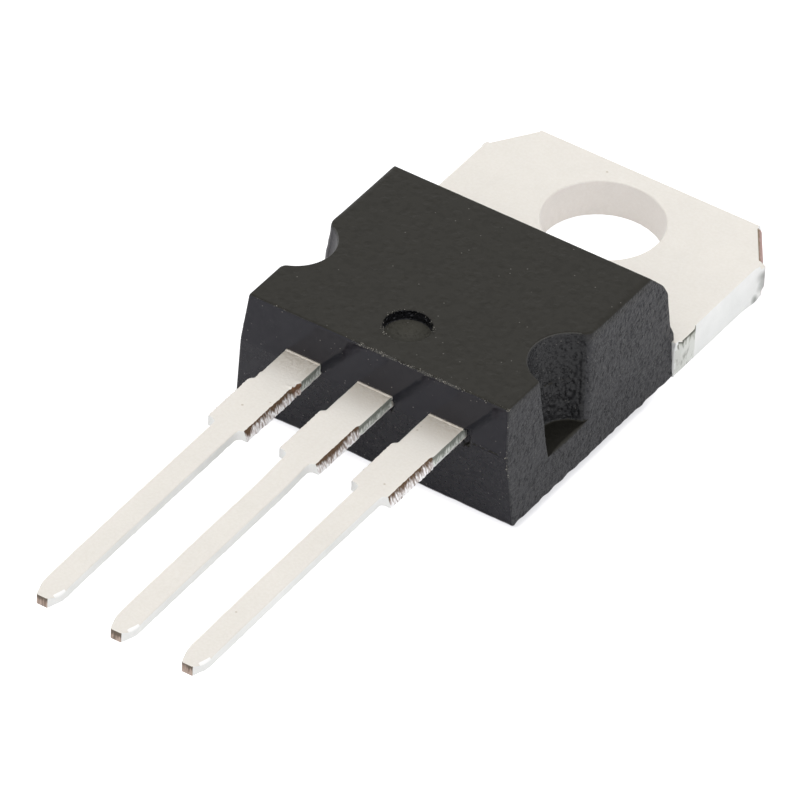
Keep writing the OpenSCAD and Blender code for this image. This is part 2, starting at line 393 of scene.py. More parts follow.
def matte_tin(name, dark, light, painted_shade_spots=()):
    """Matte tin plate: a bright, faintly cream metal. Most of its fine crystals blur what it
    mirrors, and the flat ones among them keep a soft gleam along the edges. Within about a
    millimetre of the body it is mottled darker and warmer, and further out handling has dulled
    it. The strip's rolling leaves long streaks. Grey spots of painted shade, each a point and a
    radius in mm, darken it where burrs would shade it. The crystals are drawn at 0.09 mm,
    coarser than they are, so they show."""
    material, tree = new_material(name)
    place = add(tree, "TexCoord").outputs["Object"]
    cloud = add(tree, "TexNoise", {"Vector": place, "Scale": 0.9 / MM, "Detail": 4})
    along = add(tree, "Mapping", {"Vector": place, "Scale": streaks_per_metre})
    streak = add(tree, "TexNoise", {"Vector": along, "Scale": 1, "Detail": 4})
    grain = add(tree, "TexNoise", {"Vector": place, "Scale": 11 / MM, "Detail": 3})
    tint = add(tree, "Mix", {"Factor": cloud, "A": linear(dark), "B": linear(light)},
               data_type="RGBA")
    along_part = add(tree, "SeparateXYZ", {"Vector": place}).outputs["Y"]
    off_root = add(tree, "Math", {0: along_part, 1: -lead_root * MM})
    near_root = add(tree, "Math", {0: off_root}, operation="ABSOLUTE")
    warmer_near_root = add(tree, "MapRange",
                 {"Value": near_root, "From Max": 1.1 * MM, "To Min": 1.35, "To Max": 0})
    flat = add(tree, "MapRange",
               {"Value": grain, "From Min": 0.35, "From Max": 0.65, "To Min": 0.12,
                "To Max": 0.38})
    mottled = add(tree, "Math", {0: warmer_near_root, 1: flat}, operation="MULTIPLY")
    toned = add(tree, "Mix", {"Factor": mottled, "A": tint, "B": linear("#ded3c1")},
                data_type="RGBA")
    stained = add(tree, "Mix", {"Factor": specks(tree, place, 0.05, 0.3, 0.04), "A": toned,
                                "B": linear("#dcd5ca")}, data_type="RGBA")
    outwards = add(tree, "MapRange", {"Value": along_part, "From Min": (lead_root - 1.2) * MM,
                                      "From Max": (lead_root - 3) * MM, "To Max": 0.1})
    handled = add(tree, "Mix", {"Factor": outwards, "A": stained, "B": linear("#dcd8d3")},
                  data_type="RGBA")
    # Painted shade: grey spots mixed in round the given points.
    for point, radius in painted_shade_spots:
        off = add(tree, "VectorMath", {0: place, 1: Vector(point) * MM}, operation="DISTANCE")
        patchy = add(tree, "Math", {0: cloud, 1: -0.9 * radius * MM, 2: off},
                     operation="MULTIPLY_ADD")
        painted_shade_spot = add(tree, "MapRange", {"Value": patchy, "From Min": 0.5 * radius * MM,
                                       "From Max": -0.3 * radius * MM, "To Max": 0.75})
        handled = add(tree, "Mix", {"Factor": painted_shade_spot, "A": handled, "B": linear("#9d9e9c")},
                      data_type="RGBA")
    relief = add(tree, "Math", {0: grain, 1: streak})
    bump = add(tree, "Bump", {"Height": relief, "Strength": 0.6, "Distance": 0.009 * MM})
    blurring, gleaming = (
        add(tree, "BsdfPrincipled",
            {"Base Color": handled, "Metallic": 1.0, "Roughness": roughness,
             "Normal": bump}) for roughness in (0.9, 0.34))
    crystals = add(tree, "MixShader", {0: flat, 1: blurring, 2: gleaming})
    add(tree, "OutputMaterial", {"Surface": crystals})
    return material


def sheared(name, top_edge, band, bare, smeared, pale):
    """A face that a shear cut through the plated copper. A ragged band below its top edge is
    bare, and under it the tool dragged tin down the face, paler towards the bottom. On the
    tie-bar stub the band's dark grey is painted shade under the torn edge. The top edge and the
    band's depth are in mm."""
    material, tree = new_material(name)
    place = add(tree, "TexCoord").outputs["Object"]
    height = add(tree, "SeparateXYZ", {"Vector": place}).outputs["Z"]
    depth = add(tree, "MapRange",
                {"Value": height, "From Min": top_edge * MM, "From Max": (top_edge - band) * MM})
    down = add(tree, "Mapping", {"Vector": place, "Scale": drags_per_metre})
    drag = add(tree, "TexNoise", {"Vector": down, "Scale": 1, "Detail": 3})
    patch = add(tree, "TexNoise", {"Vector": place, "Scale": 2.2 / MM, "Detail": 3})
    both = add(tree, "Math", {0: drag, 1: patch})
    level = add(tree, "Math", {0: both, 1: 1.6, 2: depth}, operation="MULTIPLY_ADD")
    smear = add(tree, "MapRange", {"Value": level, "From Min": 1.9, "From Max": 2.5})
    sunk = add(tree, "MapRange",
               {"Value": height, "From Min": (top_edge - band) * MM,
                "From Max": (top_edge - band - 0.35) * MM, "To Max": 0.35})
    lower = add(tree, "Math", {0: drag, 1: sunk})
    rubbed = add(tree, "MapRange", {"Value": lower, "From Min": 0.42, "From Max": 0.62})
    tin_tone = add(tree, "Mix", {"Factor": rubbed, "A": linear(smeared), "B": linear(pale)},
                   data_type="RGBA")
    tint = add(tree, "Mix", {"Factor": smear, "A": linear(bare), "B": tin_tone}, data_type="RGBA")
    bump = add(tree, "Bump", {"Height": both, "Strength": 0.5, "Distance": 0.015 * MM})
    metal = add(tree, "BsdfPrincipled",
                {"Base Color": tint, "Metallic": 1.0, "Roughness": 0.8, "Normal": bump})
    add(tree, "OutputMaterial", {"Surface": metal})
    return material


(ROLLED, PUNCHED_PAINTED_LIGHTER, BORE, NECK_CUT, DAM_CUT, END_CUT, CORNER_CUT, TIE_CUT, TORN,
 PAINTED_TIP_HIGHLIGHT) = range(10)
# Painted shade: grey spots on the tab's sides at its burred corners, at three places each.
tab_corner_painted_shade = [((side * 5.05, 1.15 - back, height), radius) for side in (-1, 1)
              for back, height, radius in ((0, 0.8, 0.4), (0, 0.45, 0.35), (0.4, 0.1, 0.24))]
# The tin on the punched sides is a cooler, lighter copy of the tin on the rolled tops: painted
# light.
copper_finish = [
    matte_tin("matte_tin_on_rolled_copper", "#eeebe6", "#f3f0eb"),
    matte_tin("matte_tin_on_punched_copper_with_painted_light", "#ecedec", "#fdfdfd", tab_corner_painted_shade),
    matte_tin("matte_tin_in_punched_hole", "#f1eeeb", "#f9f6f3"),
    sheared("tin_burnished_at_neck", lead_high.z, 0.22, "#999c95", "#c3c6c0", "#eceeea"),
    sheared("copper_sheared_at_dam_bar", lead_high.z, 0.22, "#7c6654", "#d6cecb", "#fdfcfd"),
    sheared("copper_cropped_at_tip", lead_high.z - droop, 0.2, "#857a6f", "#b09d92", "#cdbcb2"),
    sheared("copper_sheared_at_tab_corner", plate, 0.12, "#9a8a74", "#b39a92", "#c9aeaa"),
    # Its dark top band is painted shade under the torn edge.
    sheared("tin_torn_at_tie_bar", plate, 0.14, "#7f8077", "#bcbeb6", "#e6e7e4"),
    sheared("copper_torn_at_dam_bar", lead_high.z - 0.05, 0.14, "#8c6d58", "#b5a296", "#e6e0de"),
    # Painted highlight: a near-white copy of the tin for the rolled edge at each tip.
    matte_tin("tin_with_painted_highlight_at_tip", "#fbfbfa", "#ffffff"),
]


def finish_copper(piece, finish_of):
    """Gives each face the finish that finish_of finds for its centre and normal."""
    for material in copper_finish:
        piece.data.materials.append(material)
    for face in piece.data.polygons:
        face.material_index = finish_of(face.center / MM, face.normal)


def lead_finish(at, normal):
    """Sheared copper on the stub's right edge and at the cut end, and tin elsewhere."""
    s = lead_root - at.y
    if s > lead_reach - 0.02 and normal.y < -0.7:
        return END_CUT
    place = round(at.x / pitch)
    start = cut_from[place]
    torn_ahead = 0.2 if place < 0 else 0.02
    if place < 0 and abs(s - start + 0.02) < 0.18 and normal.x > 0.3:
        return TORN
    if start - torn_ahead < s < stub_to - 0.01 and (normal.x > 0.5 or normal.x < -0.25):
        return DAM_CUT
    if s < start and abs(normal.x) > 0.5:
        return NECK_CUT if at.z > lead_low.z + 0.09 else PUNCHED_PAINTED_LIGHTER
    # Painted highlight on the rolled right edge of the taper.
    if taper_from < s < lead_reach - 0.22 and normal.x > 0.2 and 0.5 < normal.z < 0.85:
        return PAINTED_TIP_HIGHLIGHT
    return PUNCHED_PAINTED_LIGHTER if abs(normal.z) < 0.5 else ROLLED


tab_low, tab_high = (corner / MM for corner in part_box("tab_frame"))
flash = 0.1
body_rear = body_high.y - flash
moulded_in = block((-6, lead_root + 0.2, -1), (6, body_rear - 0.005, 6), "moulded_in")
leads = []
for name, node, place, seed in (("input_lead_strip", "input_lead", -1, 11.3),
                                ("output_lead_strip", "output_lead", 1, 47.9)):
    lead = lead_outside(name, place, 0.0, seed)
    inner = merged_copy(node, name + "_inner")
    combine(inner, [("INTERSECT", moulded_in)])
    combine(lead, [("UNION", inner)])
    bpy.data.objects.remove(inner)
    soften(lead, 40)
    finish_copper(lead, lead_finish)
    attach(lead, "root")
    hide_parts(node)
    leads.append(lead)

# ---- Tab, die pad and centre lead ----
# One piece of copper strip rolled in two thicknesses: the thick part is the heat sink with
# its punched hole, and the thin part is the centre lead. The corners and the stubs of the
# tie bars were sheared after plating, so their faces lean and show some bare copper.
tie_out = 0.1
tie_from, tie_to = body_rear + 0.02, body_rear + 1.17
tab_half = tab_high.x - tie_out
corner_x, corner_y = 1.0, 1.5
draw_in, draw_down, cut_proud = 0.15, 0.2, 0.04
tab_roll, bore_roll, foot_edge = 0.06, 0.06, 0.04
corner_burr, corner_gouge, foot_burr = 0.12, 0.06, 0.06
tab_fine = 0.08
side_wavy, bore_torn = 0.006, 0.012
bore_points = 180
tongue = 3.9


def outline(corners, step):
    """Points along a closed outline about a step apart, each with its outward normal."""
    points = []
    for a, b in zip(corners, corners[1:] + corners[:1]):
        a, b = Vector(a), Vector(b)
        run = b - a
        count = max(round(run.length / step), 1)
        normal = Vector((run.y, -run.x)).normalized()
        points += [(a + run * i / count, normal) for i in range(count)]
    blended = []
    for i, (p, normal) in enumerate(points):
        before = points[i - 1][1]
        both = (normal + before).normalized()
        blended.append((p, both / max(both.dot(normal), 0.3)))
    return blended


cut = Vector((corner_y, corner_x)).normalized()


def rolled(gap, radius):
    """How far an edge rolled to this radius is drawn in at a gap below its top."""
    return radius - math.sqrt(radius ** 2 - (radius - gap) ** 2) if gap < radius else 0


def bell(value, width):
    return math.exp(-(value / width) ** 2)


def tab_ring(z, further=0.0):
    """The tab's outline at height z, with its rolled edges, drawn-in cuts and torn stubs."""
    ring = []
    top_gap = plate - z
    inset = further + rolled(top_gap, tab_roll)
    if z < foot_edge:
        inset = 0.5 * (foot_edge - z)
    for p, normal in tab_outline:
        out = -inset
        x, y = abs(p.x), p.y
        if y < seat + 0.01:
            out = 0
        on_cut = abs(Vector((abs(normal.x), normal.y)).normalized().dot(cut)) > 0.97
        if on_cut and x > tab_half - corner_x - 0.01:
            out = cut_proud - draw_in * max(1 - top_gap / draw_down, 0) - further
        if x > tab_half - 0.01:
            tie_start = tie_from + 0.12 * z / plate
            tie = ramp(y, tie_start, tie_start + 0.04) * ramp(-y, -tie_to, 0.3 - tie_to)
            lump = lumps(p.x, y * 5, z * 5)
            out += tie * ramp(z, 0.1, 0.4) * tie_out * (1 + 0.3 * lump * ramp(top_gap, 0, 0.2))
            past = y - tab_high.y + corner_y
            out += corner_burr * bell(past, 0.22) * ramp(z, 0.1, 0.5) * ramp(top_gap, 0.02, 0.15)
            out -= (corner_gouge * bell(past + 0.1, 0.06) * ramp(z, 0.45, 0.6)
                    * ramp(top_gap, 0.25, 0.4))
            out += foot_burr * bell(past + 0.35, 0.4) * ramp(-z, -0.35, -0.05)
            out += side_wavy * lumps(p.x, y * 9, z * 1.2)
        place = p + normal * out
        place.x = min(max(place.x, tab_low.x), tab_high.x)
        ring.append(Vector((place.x, place.y, z)))
    return ring


seat = body_rear - 0.03
tab_corners = [(-tongue, body_rear - 0.5), (tongue, body_rear - 0.5), (tongue, seat),
               (tab_half, seat), (tab_half, tab_high.y - corner_y),
               (tab_half - corner_x, tab_high.y), (corner_x - tab_half, tab_high.y),
               (-tab_half, tab_high.y - corner_y), (-tab_half, seat), (-tongue, seat)]
tab_outline = outline(tab_corners, tab_fine)
roll_heights = [plate - tab_roll * (1 - math.sin(math.radians(a))) for a in range(0, 91, 18)]
level_count = round((roll_heights[0] - foot_edge) / tab_fine)
levels = [0, foot_edge / 2] + [between(foot_edge, roll_heights[0], i / level_count)
                               for i in range(level_count)] + roll_heights


def hole_ring(z, further=0.0):
    """The bore at height z, drawn in at its top edge by the punch and torn lower down."""
    ring = []
    out = further + rolled(plate - z, bore_roll)
    for i in range(bore_points):
        a = math.radians(360 * i / bore_points)
        torn = bore_torn * ramp(-z, -0.6, -0.3) * lumps(math.cos(a) * 14, math.sin(a) * 14, z * 2)
        r = hole["r_mm"] + out + torn
        ring.append(Vector((r * math.cos(a), r * math.sin(a), z)))
    return ring


bm = bmesh.new()
tab_foot, tab_top = walls(bm, [tab_ring(z) for z in levels] + [tab_ring(plate, 0.03)])
hole_foot, hole_top = walls(bm, [hole_ring(z) for z in levels] + [hole_ring(plate, 0.03)])
cap(bm, tab_foot, hole_foot)
cap(bm, tab_top, hole_top)
tab_piece = solid(bm, "tab_and_centre_lead")
centre_lead = lead_outside("centre_lead", 0, 0.055, 83.1)
inner = merged_copy("tab_frame", "tab_inner")
combine(inner, [("INTERSECT", moulded_in)])
combine(tab_piece, [("UNION", inner), ("UNION", centre_lead)])
for helper in (inner, centre_lead, moulded_in):
    bpy.data.objects.remove(helper)


def tab_finish(at, normal):
    """The centre lead's finish, and on the tab its sheared corners and tie-bar stubs."""
    if at.y < lead_root:
        return lead_finish(at, normal)
    flat = Vector((abs(normal.x), normal.y))
    if abs(at.x) > tab_half - corner_x and at.y > 0 and flat.normalized().dot(cut) > 0.93 and (
            normal.z < 0.9):
        return CORNER_CUT
    if abs(at.x) > tab_half and at.y < tie_to - 0.1 and abs(normal.x) > 0.6:
        return TIE_CUT
    if abs(normal.z) > 0.5:
        return ROLLED
    return BORE if math.hypot(at.x, at.y) < hole["r_mm"] + 0.1 else PUNCHED_PAINTED_LIGHTER


soften(tab_piece, 40)
finish_copper(tab_piece, tab_finish)
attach(tab_piece, "root")
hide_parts("tab_frame")

# ---- Chip, solder and bond wires ----
# Sealed in the moulding: a silicon chip soldered to the pad, and four drawn aluminium wires
# welded by ultrasound to the chip, the two outer leads and the pad.


def plain_metal(name, dark, light, grain, roughness):
    """A metal whose colour varies a little between two tones, over grains of a size in mm."""
    material, tree = new_material(name)
    place = add(tree, "TexCoord").outputs["Object"]
    cloud = add(tree, "TexNoise", {"Vector": place, "Scale": 1 / (grain * MM), "Detail": 4})
    tint = add(tree, "Mix", {"Factor": cloud, "A": linear(dark), "B": linear(light)},
               data_type="RGBA")
    bump = add(tree, "Bump", {"Height": cloud, "Strength": 0.3, "Distance": 0.05 * grain * MM})
    metal = add(tree, "BsdfPrincipled",
                {"Base Color": tint, "Metallic": 1.0, "Roughness": roughness, "Normal": bump})
    add(tree, "OutputMaterial", {"Surface": metal})
    return material


# The chip is a dark mirror, its solder a dull grey and the wires bright and finely grained.
silicon = plain_metal("passivated_silicon", "#4a505c", "#6c7078", 0.3, 0.25)
soft_solder = plain_metal("dull_lead_tin_solder", "#8f9094", "#b4b4b6", 0.15, 0.5)
drawn_aluminium = plain_metal("drawn_aluminium_wire", "#c4c4c2", "#dcdbd7", 0.08, 0.3)
inside = {"regulator_die": silicon, "die_attach": soft_solder}
for end in ("input", "output", "sense", "ground"):
    inside[end + "_wire"] = drawn_aluminium
for node, material in inside.items():
    mesh = frame["nodes"][node].data
    mesh.materials.clear()
    mesh.materials.append(material)

# ---- Moulded body ----
# One shot of black epoxy filled with silica, moulded around the copper and everything on
# it. The cavity's top is ground fine, its ends are polished, and its sides and the pockets
# at the side notches are spark-eroded, so they come out rough and pitted.
body_fine = 0.06
top = body_high.z
half_back, half_top = body_high.x, 4.6
parting = lead_low.z
front_top, front_back = 0.17, 0.22
rear_knots = [(0, 0), (1.0, 0), (1.08, 0.1), (1.55, 0.12), (1.75, 0.03), (1.88, -0.05),
              (2.1, -0.055), (3.15, -0.165), (3.45, -0.3), (3.6, -0.42), (4.3, -1.13)]
ledge = plate
# A side notch: centre, radius at the top and at the ledge, front lip and rear lip.
right_notch = (4.92, -9.52, 1.39, 1.0, 0.12, 0.3)
left_notch = (5.01, -9.57, 1.3, 1.0, 0.25, 0.45)
wall_foot, ledge_edge = 0.06, 0.12
edge_drop, edge_inset, rubbed_inset = 0.1, 0.05, 0.14
corner_round = 0.05
rubbed_from, rubbed_full = -8.3, -7.3
mark_x, mark_y, mark_r, mark_deep = 0.04, -11.05, 0.76, 0.35
mark_points = 120
# How far the surface strays as the cavity left it, and how deep it is pitted or chipped.
side_rough, rear_rough, notch_rough, front_rough = 0.016, 0.008, 0.004, 0.002
pit_deep, ridge_deep, mark_chip = 0.05, 0.05, 0.012
crease_deep, crease_chip, foot_chip = 0.006, 0.12, 0.028


def knotted(z, knots):
    """The value at z on straight lines through the knots, rounded off at each of them."""
    total = 0.0
    for k in range(-2, 3):
        at = min(max(z + 0.03 * k, knots[0][0]), knots[-1][0])
        for (z0, v0), (z1, v1) in zip(knots, knots[1:]):
            if z0 <= at <= z1:
                total += between(v0, v1, (at - z0) / (z1 - z0)) / 5
                break
    return total


def turn(cx, cy, r, start, end, count):
    """Points round an arc, in degrees, without its last one."""
    return [(cx + r * math.cos(a), cy + r * math.sin(a)) for a in
            (math.radians(between(start, end, i / count)) for i in range(count))]


def line(ax, ay, bx, by, count):
    """Points along a straight line, without its last one."""
    return [(between(ax, bx, i / count), between(ay, by, i / count)) for i in range(count)]


SIDE, NOTCH, FRONT, REAR = range(4)
LIP_POINTS, NOTCH_POINTS = 8, 84
AHEAD_POINTS, BEHIND_POINTS, ACROSS_POINTS = 24, 72, 152


def front_at(z):
    """Where the front face is at height z. It leans back both ways from the parting line."""
    if z > parting:
        return lead_root + front_top * (z - parting) / (top - parting)
    return lead_root + front_back * (parting - z) / parting


def body_side(half, front, rear, notch, z, inset, fill, rub):
    """The right side seen from above, from the front corner to the rear one: points with the
    kind of surface there. A fill of 1 closes the notch with a straight side, and rub is how
    far the side behind the notch is drawn in."""
    x, y, r_top, r_ledge, lip_front, lip_rear = notch
    r = between(r_ledge, r_top, max(z - ledge, 0) / (top - ledge)) + inset
    above = max(z - ledge, 0) / wall_foot
    if above < 1:
        r -= wall_foot * (1 - math.sqrt(1 - (1 - above) ** 2))
    c = corner_round
    low_x, high_x = half - lip_front, half - lip_rear
    low_y = y - math.sqrt((r + lip_front) ** 2 - (low_x - x) ** 2)
    high_y = y + math.sqrt((r + lip_rear) ** 2 - (high_x - x) ** 2)
    low_a = math.degrees(math.atan2(y - low_y, x - low_x))
    high_a = math.degrees(math.atan2(y - high_y, x - high_x))
    round_notch = (turn(low_x, low_y, lip_front, 0, low_a, LIP_POINTS)
                   + turn(x, y, r, low_a + 180, high_a + 180, NOTCH_POINTS)
                   + turn(high_x, high_y, lip_rear, high_a, 0, LIP_POINTS))
    straight = line(half, low_y, half, high_y, len(round_notch))
    filled = [tuple(between(a, b, fill) for a, b in zip(p, q))
              for p, q in zip(round_notch, straight)]
    kinds = [SIDE] * LIP_POINTS + [NOTCH] * NOTCH_POINTS + [SIDE] * LIP_POINTS
    parts = [(p, FRONT) for p in turn(half - c, front + c, c, -90, 0, 4)]
    parts += [(p, SIDE) for p in line(half, front + c, half, low_y, AHEAD_POINTS)]
    parts += list(zip(filled, kinds))
    parts += [(p, SIDE) for p in line(half, high_y, half, rear - c, BEHIND_POINTS)]
    parts += [(p, SIDE) for p in turn(half - c, rear - c, c, 0, 90, 4)]
    parts.append(((half - c, rear), SIDE))
    return [((x - rub * ramp(y, rubbed_from, rubbed_full), y), kind) for (x, y), kind in parts]


def body_ring(z, inset=0.0, fill=0.0, rub=0.0):
    """The body's outline at height z, drawn in by inset, with the notches closed by fill and
    the sides behind them drawn in by rub."""
    half = between(half_back, half_top, z / top) - inset
    front = front_at(z) + inset
    rear = body_rear + knotted(z, rear_knots) - inset
    right = body_side(half, front, rear, right_notch, z, inset, fill, rub)
    left = body_side(half, front, rear, left_notch, z, inset, fill, rub)
    left = [((-x, y), kind) for (x, y), kind in reversed(left)]
    (front_x, front_y), (rear_x, rear_y) = right[0][0], right[-1][0]
    front_line = line(-front_x, front_y, front_x, front_y, ACROSS_POINTS)[1:]
    rear_line = line(rear_x, rear_y, -rear_x, rear_y, ACROSS_POINTS)[1:]
    ring = (right + [(p, REAR) for p in rear_line] + left + [(p, FRONT) for p in front_line])
    return [(Vector((*p, z)), kind) for p, kind in ring]


def roughened(ring):
    """The ring's points moved off the true surface as the eroded cavity left them."""
    moved = []
    for i, (p, kind) in enumerate(ring):
        run = ring[(i + 1) % len(ring)][0] - ring[i - 1][0]
        out = Vector((run.y, -run.x, 0)).normalized()
        spark = noise.noise(p * 3) + 0.5 * noise.noise(p * 5)
        near_top = ramp(top - p.z, 0.02, 0.2)
        if kind == NOTCH and p.z > ledge:
            pit = noise.noise(p * 8.5 + Vector((3, 1, 7)))
            rim = ramp(p.z, ledge, ledge + 0.15) * ramp(top - p.z, 0.3, 1.9)
            worn = 1 if p.x > 0 else 0.15
            deep = notch_rough * spark * near_top - pit_deep * worn * rim * ramp(pit, 0.1, 0.4)
        elif kind == SIDE or kind == NOTCH:
            deep = side_rough * spark * near_top
        elif kind == REAR:
            ridge = ramp(p.z, 1.26, 1.34) * ramp(-p.z, -1.7, -1.55)
            deep = (rear_rough * spark * near_top
                    + ridge_deep * ridge * min(noise.noise(p * 1.7), 0))
        else:
            chips = ramp(p.x, 3.1, 3.5) * max(noise.noise(p * 7), 0)
            deep = (front_rough * noise.noise(p * 1.5) * near_top
                    - bell(p.z - parting, 0.02) * (crease_deep + crease_chip * chips))
        chipped = foot_chip * ramp(-p.z, -0.2, 0) * noise.noise(p * 3)
        moved.append(p + out * (deep + chipped))
    return moved


def plain(ring):
    return [p for p, kind in ring]


wall_base = ledge + wall_foot
wall_count = round((top - edge_drop - wall_base) / body_fine)
foot_count = round((ledge - 0.2) / body_fine)
rings = [plain(body_ring(0, 0.1, 1)), roughened(body_ring(0, 0.04, 1)),
         roughened(body_ring(0.04, 0, 1))]
rings += [roughened(body_ring(between(0.1, ledge - ledge_edge, i / foot_count), 0, 1))
          for i in range(foot_count + 1)]
rings += [plain(body_ring(ledge - ledge_edge * (1 - math.sin(a)), 0,
                          1 - ledge_edge * (1 - math.cos(a))))
          for a in (math.radians(15 * i) for i in range(1, 7))]
rings += [plain(body_ring(ledge, 0, fill)) for fill in (0.85, 0.6, 0.35, 0.1, 0)]
rings += [roughened(body_ring(ledge + wall_foot * part)) for part in (0.1, 0.3, 0.6)]
heights = [between(wall_base, top - edge_drop, i / wall_count) for i in range(wall_count)]
heights = [z for z in heights if abs(z - parting) > 0.05]
heights += [parting + away for away in (-0.05, -0.025, 0, 0.025, 0.05)]
rings += [roughened(body_ring(z)) for z in sorted(heights)]
for degrees in range(0, 91, 15):
    a = math.radians(degrees)
    drawn = 1 - math.cos(a)
    rings.append(roughened(body_ring(top - edge_drop * (1 - math.sin(a)), edge_inset * drawn,
                                     0, rubbed_inset * drawn)))
rings.append(roughened(body_ring(top, edge_inset + 0.03, 0, rubbed_inset)))

bm = bmesh.new()
foot, crown = walls(bm, rings)
mark_steps = [(0.05, 0), (0.02, 0), (0.005, -0.006), (0, -0.02), (0, -0.09), (0, -0.15),
              (-0.012, -0.17), (-0.012, -0.26), (-0.012, -mark_deep)]
mark_rings = []
for wider, drop in mark_steps:
    ring = []
    for a in (math.radians(360 * i / mark_points) for i in range(mark_points)):
        away = Vector((math.cos(a), math.sin(a), 0))
        chipped = mark_chip * noise.noise(away * 9 + Vector((0, 0, drop * 9)))
        r = mark_r + wider + chipped * ramp(-drop, 0, 0.05)
        ring.append(Vector((mark_x, mark_y, top + drop)) + away * r)
    mark_rings.append(ring)
mark_rim, mark_floor = walls(bm, mark_rings)
cap(bm, foot)
cap(bm, crown, mark_rim)
cap(bm, mark_floor)
body = solid(bm, "epoxy_moulding")


def void(x, z, radii, seed):
    """A lumpy ball that cuts a void at the front face, where the resin shrank off a lead."""
    bm = bmesh.new()
    bmesh.ops.create_icosphere(bm, subdivisions=4, radius=1)
    for v in bm.verts:
        lumpy = v.co * (1 + 0.35 * noise.noise(v.co * 1.8 + Vector((seed, 0, 0))))
        v.co = Vector((x + lumpy.x * radii[0], lead_root + 0.02 + lumpy.y * radii[1],
                       z + lumpy.z * radii[2])) * MM
    return solid(bm, "shrinkage_void")


cutters = [*leads, tab_piece]
voids = [void(pitch + neck_right + 0.07, lead_high.z - 0.27, (0.19, 0.16, 0.31), 3),
         void(neck_right + 0.02, lead_high.z - 0.33, (0.07, 0.08, 0.2), 8)]
welded = [merged_copy(node, node + "_pocket") for node in inside]
combine(body, [("DIFFERENCE", other) for other in cutters + welded + voids])
for helper in welded + voids:
    bpy.data.objects.remove(helper)


def cavity_finish(tree, resin, sheen, roughness, grain, relief, pitted, bare):
    """The shader for epoxy full of silica grains, a dull near-black that shows mostly its
    faint sheen. Grain and relief are the size and depth in mm of the bumps that the cavity's
    craters left, pitted is how much of the sheen is lost in between them, and bare is the
    share of the silica grains under the skin that show as specks."""
    place = add(tree, "TexCoord").outputs["Object"]
    fine = add(tree, "TexNoise", {"Vector": place, "Scale": 1 / (grain * MM), "Detail": 2})
    elsewhere = add(tree, "VectorMath", {0: place, 1: (7 * MM, 5 * MM, 3 * MM)})
    raised = specks(tree, place, 0.8 * grain, 1.5 * grain, 0.35)
    sunken = specks(tree, elsewhere, 0.7 * grain, 1.3 * grain, 0.3)
    craters = add(tree, "Math", {0: raised, 1: sunken}, operation="SUBTRACT")
    coarse = add(tree, "Math", {0: craters, 1: 1.5, 2: fine}, operation="MULTIPLY_ADD")
    tint = add(tree, "Mix", {"Factor": specks(tree, place, 0.026, 0.1, bare), "A": linear(resin),
                             "B": linear("#5f5d5a")}, data_type="RGBA")
    shine = add(tree, "MapRange",
                {"Value": fine, "From Min": 0.36, "From Max": 0.54,
                 "To Min": 0.35 * (1 - pitted), "To Max": 0.35})
    bump = add(tree, "Bump", {"Height": coarse, "Strength": 0.6, "Distance": relief * MM})
    return add(tree, "BsdfPrincipled",
               {"Base Color": tint, "Roughness": roughness, "Specular IOR Level": shine,
                "Specular Tint": linear(sheen), "Normal": bump})


def epoxy(name, finish, other=None, share=None):
    """Epoxy with one finish, or with a second one where the piece's own attribute says so."""
    material, tree = new_material(name)
    surface = cavity_finish(tree, *finish)
    if other:
        mask = add(tree, "Attribute", attribute_name=share).outputs["Fac"]
        surface = add(tree, "MixShader", {0: mask, 1: surface, 2: cavity_finish(tree, *other)})
    add(tree, "OutputMaterial", {"Surface": surface})
    return material


# Each finish: resin, sheen, roughness, grain, relief, pitted, bare. The eroded sides look like
# fine dull leather and the ground top is flat and brownish, with a warm sheen that is painted
# light. The polished front is smooth, and its bluish resin and sheen are painted light. The
# pockets are darker. A paler tone on rubbed rims is partly wear and partly a painted
# highlight, the ejector pin's face is lightened with painted light, and its rough wall is
# darkened near black with painted shade.
eroded = ("#353538", "#ffffff", 0.45, 0.12, 0.13, 0.6, 0.06)
# The ground finish's warm sheen tint is painted light.
ground = ("#181714", "#f8f3e4", 0.5, 0.2, 0.006, 0.15, 0.012)
finishes = (
    epoxy("epoxy_from_eroded_and_ground_cavity", eroded, ground, "ground"),
    # The polished finish's bluish resin and sheen are painted light.
    epoxy("epoxy_from_polished_cavity", ("#202025", "#f8f5fb", 0.08, 0.2, 0.0015, 0.15, 0.07)),
    epoxy("epoxy_from_pin_pocket", ("#272729", "#ffffff", 0.35, 0.09, 0.02, 0.7, 0.1)),
    epoxy("epoxy_from_worn_pin_pocket", ("#2f2d31", "#fdfaff", 0.4, 0.09, 0.003, 0.2, 0)),
    # Partly wear and partly a painted highlight, for the rounded rims.
    epoxy("epoxy_rubbed_with_painted_highlight", ("#3b3a38", "#ffffff", 0.5, 0.05, 0.012, 0.3, 0.3)),
    # Painted light on the ejector pin's face, and painted shade, near black, on its wall.
    epoxy("epoxy_on_ejector_pin_face_with_painted_light", ("#33322d", "#f8f3e4", 0.5, 0.1, 0.012, 0.3, 0.15)),
    epoxy("epoxy_in_ejector_mark_with_painted_shade", ("#121214", "#eeeef8", 0.3, 0.1, 0.05, 0.8, 0.1)))
for material in finishes:
    body.data.materials.append(material)
notch_front, notch_rear = -11, -8
OUTSIDE, POLISHED, POCKET, WORN_POCKET, RUBBED_WITH_PAINTED_HIGHLIGHT, PIN_FACE_PAINTED_LIGHTER, PIN_WALL_PAINTED_DARK = range(7)
mask = body.data.attributes.new("ground", "FLOAT", "FACE")
